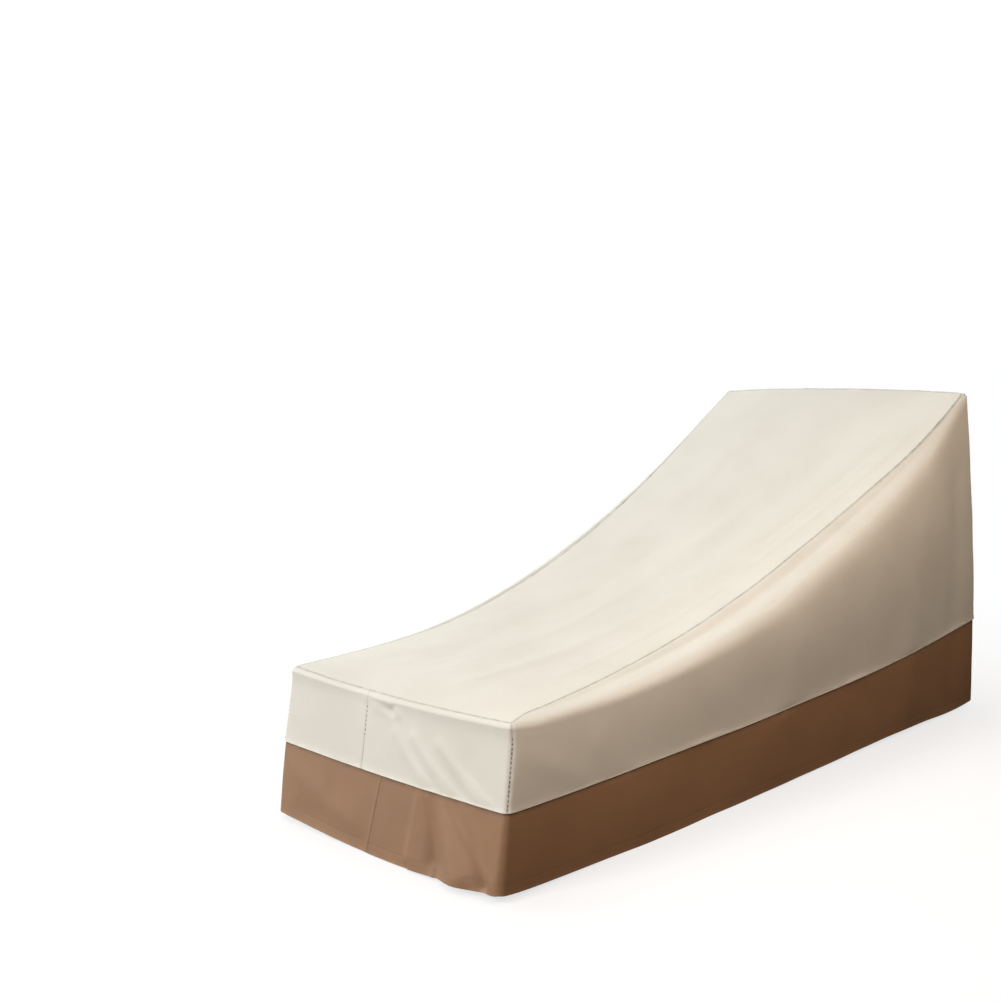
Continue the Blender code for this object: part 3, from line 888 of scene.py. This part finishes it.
def make_panel(name, wall, start, end, material):
    """Beige panel of a wall between two of its upright seams."""
    share, tuck = spaced(wall_length(wall), wall_step(wall), start, end)
    level, lift, row_tuck = panel_rows(wall, share)
    lift = lift[:, None] - np.maximum(row_tuck[:, None], tuck[None, :])
    parts = wall_face(wall, share[None, :], level, lift, seams=(start, end))
    return make_sheet(name.replace("panel", "cloth"), *parts, material, "beige_cloth", [name])


def make_top(material):
    """Top panel, rolled under at its seams."""
    across, tuck_across = spaced(FOOT_WIDTH - 2.0 * EDGE_INSET, STEP_COARSE)
    along, tuck_along = spaced(TOP_LENGTH, STEP_COARSE)
    lift = PANEL_LIFT - np.maximum(tuck_across[None, :], tuck_along[:, None])
    parts = top_face(across[None, :], along[:, None], lift)
    return make_sheet("top_cloth", *parts, material, "beige_cloth", ["top_panel"])


def band_seam(level):
    """Share of the foot end's width where the band's own seam lies, which leans."""
    return BAND_SEAM - BAND_SEAM_LEAN * np.maximum(level - BAND, 0.0)


def band_block(wall, start=0.0, end=1.0, sewn=(False, False)):
    """Places, directions and seam shade of the band along one wall, or part of it."""
    share, tuck = spaced(wall_length(wall), wall_step(wall), start, end, sewn)
    level, lift = band_rows(wall, share)
    lift = lift[:, None] - tuck[None, :]
    share = np.broadcast_to(share, level.shape)
    if wall != FOOT:
        return wall_face(wall, share, level, lift, band=True)
    seam = band_seam(level)
    left = share * seam / BAND_SEAM
    right = 1.0 - (1.0 - share) * (1.0 - seam) / (1.0 - BAND_SEAM)
    share = np.where(share < BAND_SEAM, left, right)
    return wall_face(wall, share, level, lift, seams=(seam,), band=True)


def make_band(material):
    """Band round the hem, one strip that starts and ends at its seam on the foot end."""
    blocks = [
        band_block(FOOT, BAND_SEAM, 1.0, (True, False)),
        band_block(RIGHT),
        [part[:, ::-1] for part in band_block(HEAD)],
        [part[:, ::-1] for part in band_block(LEFT)],
        band_block(FOOT, 0.0, BAND_SEAM, (False, True)),
    ]
    parts = (np.concatenate(part, axis=1) for part in zip(*blocks))
    return make_sheet("band_cloth", *parts, material, "brown_cloth", ["skirt_band"])


def even_places(places, normals, pitch):
    """Places a pitch apart on a line, with the line's direction and the cloth's there."""
    steps = np.linalg.norm(np.diff(places, axis=0), axis=-1)
    distance = np.concatenate([[0.0], np.cumsum(steps)])
    count = max(int(distance[-1] / pitch), 1)
    at = (np.arange(count) + 0.5) * distance[-1] / count

    def read(values, where):
        return np.stack([np.interp(where, distance, values[:, axis]) for axis in range(3)], axis=-1)

    run = read(places, at + pitch / 4.0) - read(places, at - pitch / 4.0)
    run /= np.linalg.norm(run, axis=-1, keepdims=True)
    up = read(normals, at)
    up /= np.linalg.norm(up, axis=-1, keepdims=True)
    return read(places, at), run, up


def make_stitches(name, lines, pitch, length, radius, material, slot):
    """Rows of stitches, each a short thread that dips into the cloth at both ends."""
    around = np.arange(STITCH_SIDES) * 2.0 * math.pi / STITCH_SIDES
    points = []
    for line in lines:
        middle, run, up = even_places(*line, pitch)
        side = np.cross(run, up)
        for share, width, rise in STITCH_RINGS:
            centre = middle + run * share * length + up * rise * radius
            for angle in around:
                spoke = side * math.cos(angle) + up * math.sin(angle)
                points.append(centre + spoke * radius * width)
    per_stitch = len(STITCH_RINGS) * STITCH_SIDES
    places, faces, first = [], [], 0
    ring = np.arange(STITCH_SIDES)
    following = np.roll(ring, -1)
    band = np.stack([ring, following, following + STITCH_SIDES, ring + STITCH_SIDES], axis=-1)
    template = np.concatenate([
        band + low for low in np.arange(len(STITCH_RINGS) - 1) * STITCH_SIDES])
    for line in range(len(lines)):
        stitch = np.stack(points[line * per_stitch:(line + 1) * per_stitch], axis=1)
        offsets = first + np.arange(len(stitch))[:, None, None] * per_stitch
        faces.append((template[None] + offsets).reshape(-1, 4))
        places.append(stitch.reshape(-1, 3))
        first += len(stitch) * per_stitch
    return make_piece(name, np.concatenate(places), np.concatenate(faces), material)


def wall_line(wall, start, end, level_at, lift, band=False):
    """Line along a wall, at the level that its section gives, as places and directions."""
    share = np.linspace(start, end, LINE_STEPS)
    level = level_at(wall_section(wall, share)) + 0.0 * share
    places, normals = wall_face(wall, share[None, :], level[None, :], lift, band=band)[:2]
    return places[0], normals[0]


def seam_line(wall, share, start, end, lift):
    """Line down an upright seam, from one level to another."""
    level = np.linspace(start, end, LINE_STEPS)
    share = np.full_like(level, share)
    places, normals = wall_face(wall, share[None, :], level[None, :], lift)[:2]
    return places[0], normals[0]


def lap_level(section):
    """Level of the stitches along the lower edge of the beige panels."""
    return BAND - LAP_STITCH_RISE / LAP + 0.0 * section["band"]


def hem_level(section):
    """Level of the stitches that hold the hem."""
    return HEM - HEM_STITCH_RISE / (section["band"] - section["hem"])


def set_inputs(tree, made, **inputs):
    """Set a node's inputs by name or index, from values or sockets."""
    for name, value in inputs.items():
        by_index = name[0] == "i" and name[1:].isdigit()
        socket = made.inputs[int(name[1:]) if by_index else name.replace("_", " ")]
        if isinstance(value, bpy.types.NodeSocket):
            tree.links.new(value, socket)
        else:
            socket.default_value = value


def node(tree, kind, **inputs):
    """Shader node of a kind, with its inputs set."""
    made = tree.nodes.new(kind)
    set_inputs(tree, made, **inputs)
    return made


def math_node(tree, operation, first, second=0.0):
    """Result of a math operation on two values or sockets."""
    made = node(tree, "ShaderNodeMath", i0=first, i1=second)
    made.operation = operation
    return made.outputs[0]


def weave_height(tree):
    """Height of a plain weave, whose yarns bulge where they cross over, and its map."""
    grain = node(tree, "ShaderNodeUVMap")
    grain.uv_map = "cloth"
    split = node(tree, "ShaderNodeSeparateXYZ", Vector=grain.outputs["UV"])
    turns = math.pi / YARN_PITCH
    warp = math_node(tree, "SINE", math_node(tree, "MULTIPLY", split.outputs["X"], turns))
    weft = math_node(tree, "SINE", math_node(tree, "MULTIPLY", split.outputs["Y"], turns))
    over = math_node(tree, "GREATER_THAN", math_node(tree, "MULTIPLY", warp, weft), 0.0)
    across = math_node(tree, "ABSOLUTE", warp)
    along = math_node(tree, "ABSOLUTE", weft)
    round_along = math_node(tree, "POWER", along, YARN_ROUNDNESS)
    round_across = math_node(tree, "POWER", across, YARN_ROUNDNESS)
    warp_over = math_node(tree, "MULTIPLY", across, round_along)
    weft_over = math_node(tree, "MULTIPLY", along, round_across)
    chosen = node(tree, "ShaderNodeMix", Factor=over, A=weft_over, B=warp_over)
    return chosen.outputs[0], grain.outputs["UV"]


def new_material(name):
    """Material that is made of nodes, and the tree that holds them."""
    material = bpy.data.materials.new(name)
    material.use_nodes = True
    return material, material.node_tree


def woven(name, light, dark, gloss, sheen):
    """Matt coated weave, its colour a little uneven between a light and a dark tone."""
    material, tree = new_material(name)
    surface = tree.nodes["Principled BSDF"]
    place = node(tree, "ShaderNodeTexCoord").outputs["Object"]
    height, grain = weave_height(tree)

    patches = node(tree, "ShaderNodeTexNoise", Vector=place, Scale=5.0, Detail=4.0, Roughness=0.55)
    slubs = node(tree, "ShaderNodeMapping", Vector=grain, Scale=(40.0, 900.0, 1.0))
    slub_noise = node(tree, "ShaderNodeTexNoise", Vector=slubs.outputs[0], Scale=1.0, Detail=2.0)
    tone = math_node(tree, "MULTIPLY_ADD", slub_noise.outputs[0], 0.3)
    tree.links.new(patches.outputs[0], tone.node.inputs[2])
    shade = node(tree, "ShaderNodeMapRange", Value=tone, From_Min=0.45, From_Max=0.85)
    colour = node(tree, "ShaderNodeMix", Factor=shade.outputs[0])
    colour.data_type = "RGBA"
    colour.inputs[6].default_value = (*light, 1.0)
    colour.inputs[7].default_value = (*dark, 1.0)
    # Colour darkened by dust and painted shade at the seams and under the lap, and lightened by
    # painted highlights on the edges, unevenly.
    dust_and_painted_light = node(tree, "ShaderNodeAttribute").outputs["Fac"]
    dust_and_painted_light.node.attribute_name = "seam_shade"
    patchiness = node(tree, "ShaderNodeTexNoise", Vector=place, Scale=45.0, Detail=3.0, Roughness=0.6)
    amount = node(tree, "ShaderNodeMapRange", Value=patchiness.outputs[0], From_Min=0.35, From_Max=0.65,
                  To_Min=0.50, To_Max=1.15)
    dust_and_painted_light = math_node(tree, "MULTIPLY", dust_and_painted_light, amount.outputs[0])
    gain = math_node(tree, "MULTIPLY_ADD", dust_and_painted_light, -SEAM_DARKENING)
    gain.node.inputs[2].default_value = 1.0
    toned = node(tree, "ShaderNodeVectorMath", i0=colour.outputs[2], i1=gain)
    toned.operation = "MULTIPLY"

    wrinkles = node(tree, "ShaderNodeTexNoise", Vector=place, Scale=38.0, Detail=5.0, Roughness=0.6)
    worn = node(tree, "ShaderNodeBump", Height=wrinkles.outputs[0], Strength=0.12, Distance=0.002)
    yarns = node(tree, "ShaderNodeBump", Height=height, Strength=YARN_BUMP, Distance=0.00025,
                 Normal=worn.outputs[0])
    set_inputs(tree, surface, Base_Color=toned.outputs[0], Normal=yarns.outputs[0], Roughness=0.62,
               Specular_IOR_Level=gloss, Sheen_Weight=sheen, Sheen_Roughness=0.5)
    return material


def thread(name, colour):
    """Twisted sewing thread of one colour, with a fine bump along its turns."""
    material, tree = new_material(name)
    surface = tree.nodes["Principled BSDF"]
    place = node(tree, "ShaderNodeTexCoord").outputs["Object"]
    strands = node(tree, "ShaderNodeTexNoise", Vector=place, Scale=900.0, Detail=1.0)
    bump = node(tree, "ShaderNodeBump", Height=strands.outputs[0], Strength=0.4, Distance=0.0003)
    set_inputs(tree, surface, Base_Color=(*colour, 1.0), Normal=bump.outputs[0], Roughness=0.6)
    return material


def make_camera():
    """Camera at the photograph's place, angle and focal length."""
    azimuth, elevation, roll = (
        math.radians(angle) for angle in (CAMERA_AZIMUTH, CAMERA_ELEVATION, CAMERA_ROLL))
    back = Vector((math.sin(azimuth) * math.cos(elevation),
                   -math.cos(azimuth) * math.cos(elevation), math.sin(elevation)))
    right = (-back).cross(Vector((0.0, 0.0, 1.0))).normalized()
    up = back.cross(right)
    turned_right = right * math.cos(roll) + up * math.sin(roll)
    turned_up = up * math.cos(roll) - right * math.sin(roll)
    turn = Matrix((turned_right, turned_up, back)).transposed()
    camera = add_object("camera", bpy.data.cameras.new("camera"))
    camera.data.sensor_width = SENSOR_WIDTH
    camera.data.lens = FOCAL_LENGTH
    camera.matrix_world = Matrix.Translation(CAMERA_PLACE - REST_POINT) @ turn.to_4x4()
    bpy.context.scene.camera = camera


def make_light(name, place, aim, size, power, colour):
    """Soft oblong light at a place, turned towards another."""
    data = bpy.data.lights.new(name, "AREA")
    data.shape = "RECTANGLE"
    data.size, data.size_y = size
    data.energy = power
    data.color = colour
    light = add_object(name, data)
    light.location = place
    light.rotation_euler = (Vector(aim) - Vector(place)).to_track_quat("-Z", "Y").to_euler()


def floor_material():
    """Pale floor that shows a soft shadow, and throws less light back than it shows."""
    material, tree = new_material("floor")
    tree.nodes.clear()
    seen = node(tree, "ShaderNodeLightPath").outputs["Is Camera Ray"]
    bare = node(tree, "ShaderNodeBsdfDiffuse", Color=FLOOR_BOUNCE)
    pale = node(tree, "ShaderNodeBsdfDiffuse", Color=WHITE)
    glow = node(tree, "ShaderNodeEmission", Strength=1.0)
    place = node(tree, "ShaderNodeNewGeometry").outputs["Position"]
    away = node(tree, "ShaderNodeVectorMath", i0=place)
    away.operation = "LENGTH"
    share = node(tree, "ShaderNodeMapRange", Value=away.outputs["Value"], From_Min=FLOOR_SHADED[0],
                 From_Max=FLOOR_SHADED[1], To_Min=FLOOR_PALENESS, To_Max=1.0)
    shown = node(tree, "ShaderNodeMixShader", i0=share.outputs[0], i1=pale.outputs[0],
                 i2=glow.outputs[0])
    both = node(tree, "ShaderNodeMixShader", i0=seen, i1=bare.outputs[0], i2=shown.outputs[0])
    node(tree, "ShaderNodeOutputMaterial", Surface=both.outputs[0])
    return material


def make_world():
    """White surroundings for the camera, which light the cover only faintly."""
    world = bpy.data.worlds.new("studio")
    world.use_nodes = True
    tree = world.node_tree
    tree.nodes.clear()
    seen = node(tree, "ShaderNodeLightPath").outputs["Is Camera Ray"]
    faint = node(tree, "ShaderNodeBackground", Color=WORLD_TINT, Strength=WORLD_GLOW)
    white = node(tree, "ShaderNodeBackground", Color=WHITE, Strength=1.0)
    both = node(tree, "ShaderNodeMixShader", i0=seen, i1=faint.outputs[0], i2=white.outputs[0])
    node(tree, "ShaderNodeOutputWorld", Surface=both.outputs[0])
    bpy.context.scene.world = world
    bpy.context.scene.view_settings.view_transform = "Standard"


def make_studio(floor_height):
    """Soft lights round the cover, on a pale floor in white surroundings."""
    for light in LIGHTS:
        make_light(*light)
    mesh = bpy.data.meshes.new("floor")
    corners = ((-1.0, -1.0), (1.0, -1.0), (1.0, 1.0), (-1.0, 1.0))
    mesh.from_pydata([(x * FLOOR_REACH, y * FLOOR_REACH, 0.0) for x, y in corners], [], [range(4)])
    mesh.materials.append(floor_material())
    floor = add_object("floor", mesh)
    floor.location.z = floor_height
    make_world()


make_camera()
beige = woven("beige_cloth", *BEIGE_CLOTH)
brown = woven("brown_cloth", *BROWN_CLOTH)
beige_thread = thread("beige_thread", BEIGE_THREAD)
brown_thread = thread("brown_thread", BROWN_THREAD)
shaded_dot_thread = thread("shaded_dot_thread", SHADED_DOT_THREAD)
top = make_top(beige)
foot_left = make_panel("foot_panel_left", FOOT, 0.0, FOOT_SEAM, beige)
foot_right = make_panel("foot_panel_right", FOOT, FOOT_SEAM, 1.0, beige)
side_right = make_panel("side_panel_right", RIGHT, 0.0, 1.0, beige)
side_left = make_panel("side_panel_left", LEFT, 0.0, 1.0, beige)
head = make_panel("head_panel", HEAD, 0.0, 1.0, beige)
band = make_band(brown)

for name, wall, start, end in LAP_STITCHING:
    line = wall_line(wall, start, end, lap_level, PANEL_LIFT + CLOTH / 2)
    make_stitches("lap_stitches_" + name, [line],
                                       *STITCH, beige_thread, "beige_cloth")
hem_lines = [wall_line(wall, SEAM_GAP, 1.0 - SEAM_GAP, hem_level, BAND_LIFT + CLOTH / 2, True)
             for wall in OUTWARD]
hem_stitches = make_stitches("hem_stitches", hem_lines, *STITCH, brown_thread, "brown_cloth")
dot_lines = [seam_line(*row, DOT_LIFT) for row in SEAM_DOTS]
seam_dots = make_stitches("seam_dots", dot_lines, *DOT, shaded_dot_thread, "beige_cloth")

make_studio(CAD_BOUNDS[0][2] - FLOOR_GAP)
